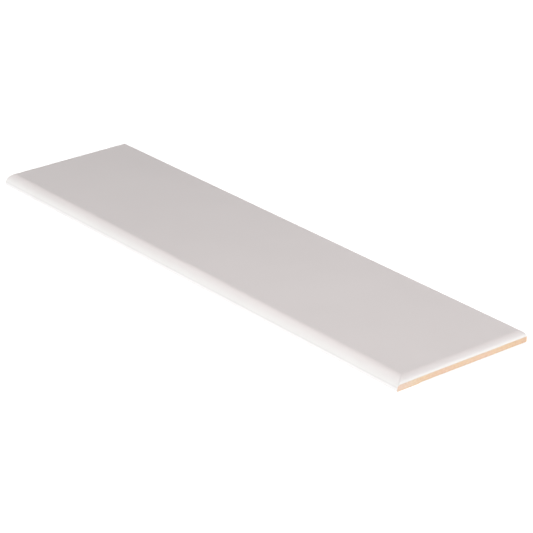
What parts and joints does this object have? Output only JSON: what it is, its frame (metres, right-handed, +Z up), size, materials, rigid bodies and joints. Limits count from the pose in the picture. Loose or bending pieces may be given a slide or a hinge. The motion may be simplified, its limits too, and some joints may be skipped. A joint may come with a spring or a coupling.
{
  "type": "bullnose tile",
  "caption": "Long glazed ceramic trim tile with a rounded bullnose along one long edge and soft cushion edges on the other sides.",
  "frame": {"origin": "centre of the footprint, on the plane that the back of the tile rests on", "axes": "+X along the tile's length, +Y from the bullnose edge towards the back edge (the bullnose faces -Y), +Z up out of the glazed face"},
  "size_m": [0.4, 0.1, 0.008],
  "materials": {
    "glazed_tile": "white satin-gloss glaze on the face, the bullnose and the cushion edges; below the glaze line and on the back the bare fired body shows, matt and pale orange-pink"
  },
  "bodies": {
    "root": {"bullnose_tile": "glazed_tile"}
  },
  "joints": []
}
